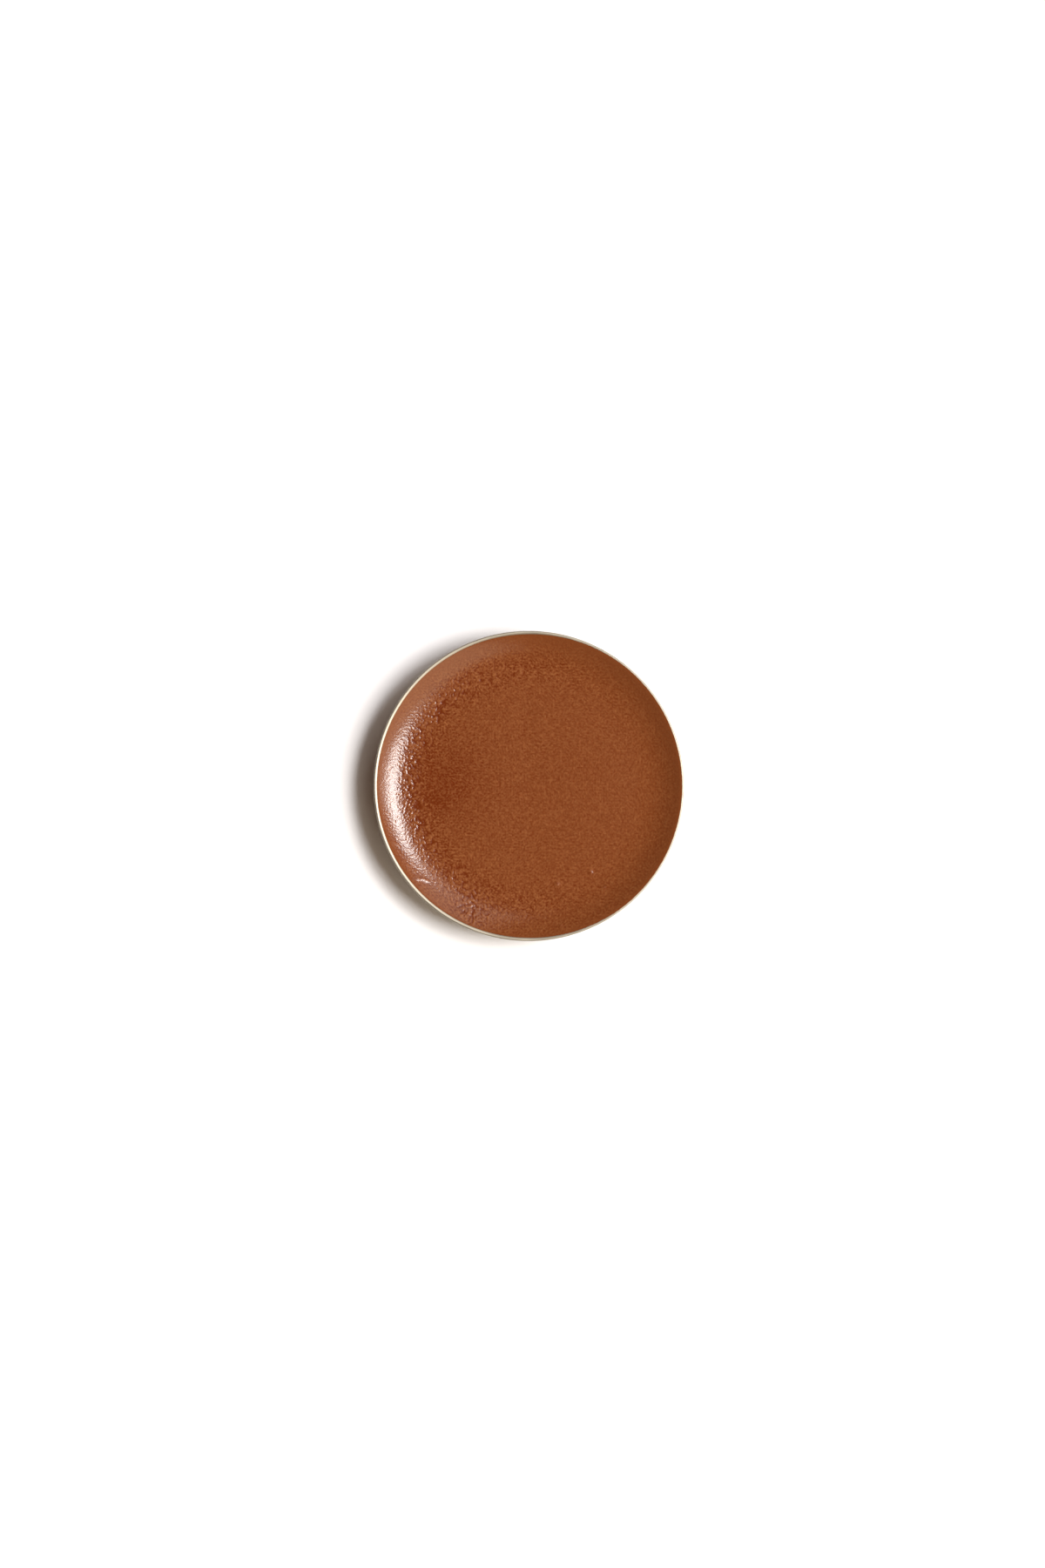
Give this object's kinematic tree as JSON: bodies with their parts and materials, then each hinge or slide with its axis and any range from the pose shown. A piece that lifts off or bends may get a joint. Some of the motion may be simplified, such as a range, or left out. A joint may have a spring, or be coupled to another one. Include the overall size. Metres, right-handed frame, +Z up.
{
  "type": "shoe polish tin",
  "caption": "Open round shallow tin of brown wax shoe polish: a drawn tinplate pan with a rolled lip, filled with cast wax that climbs to the lip, and a blank label under its base.",
  "frame": {"origin": "centre of the plane that the tin stands on, under the middle of its base", "axes": "+Z up along the tin's axis, out of its open mouth; X and Y lie in the base and are interchangeable"},
  "size_m": [0.068, 0.068, 0.009],
  "materials": {
    "tinplate": "bare drawn tinplate, satin, slightly warm in tone, with faint rolling marks",
    "wax_polish": "brown paste wax, set in the tin, glossy with a fine leathery grain, and a climb to the lip",
    "label_paper": "blank uncoated paper, matt"
  },
  "bodies": {
    "root": {"tin_pan": "tinplate", "polish": "wax_polish", "base_label": "label_paper"}
  },
  "joints": []
}
